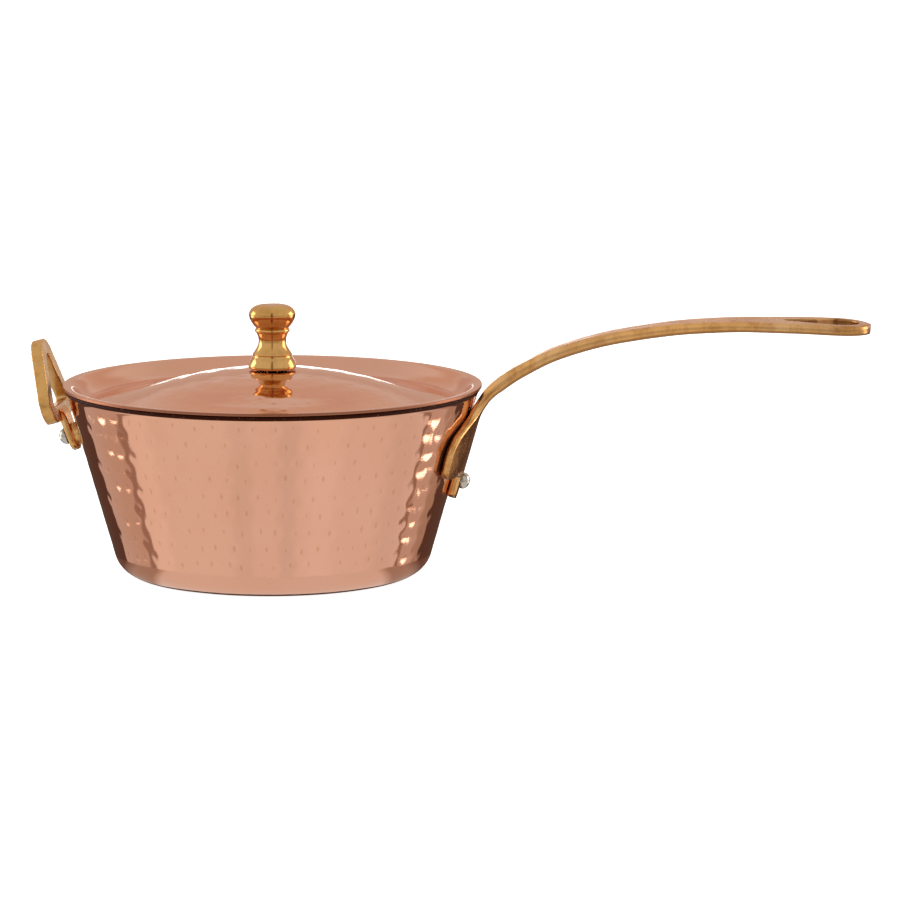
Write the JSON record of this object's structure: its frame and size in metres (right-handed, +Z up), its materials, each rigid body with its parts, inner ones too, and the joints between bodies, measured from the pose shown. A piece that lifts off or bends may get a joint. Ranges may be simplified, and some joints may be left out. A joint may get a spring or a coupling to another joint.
{
  "type": "saucepan with lid",
  "caption": "Flared round copper saucepan with an inset domed lid, a turned knob, a long hanging handle and a loop handle opposite.",
  "frame": {"origin": "centre of the pan's flat underside", "axes": "+Z up through the knob, +X along the long handle"},
  "size_m": [0.361, 0.18, 0.1167],
  "materials": {
    "copper": "hammered and polished copper",
    "brass": "cast and polished, satin on the handles",
    "steel": "satin"
  },
  "bodies": {
    "pan": {"copper_pan": "copper", "pan_lining": "steel", "long_handle": "brass", "long_handle_rivet": "steel", "helper_handle": "brass", "helper_handle_rivet": "steel"},
    "lid": {"lid_cover": "copper", "lid_lining": "steel", "lid_knob": "brass", "knob_screw": "steel", "knob_washer": "steel"}
  },
  "joints": [
    {"name": "lid_lift", "type": "slide", "parent": "pan", "child": "lid", "axis": [0, 0, 1], "range_m": [0, 0.11]}
  ]
}
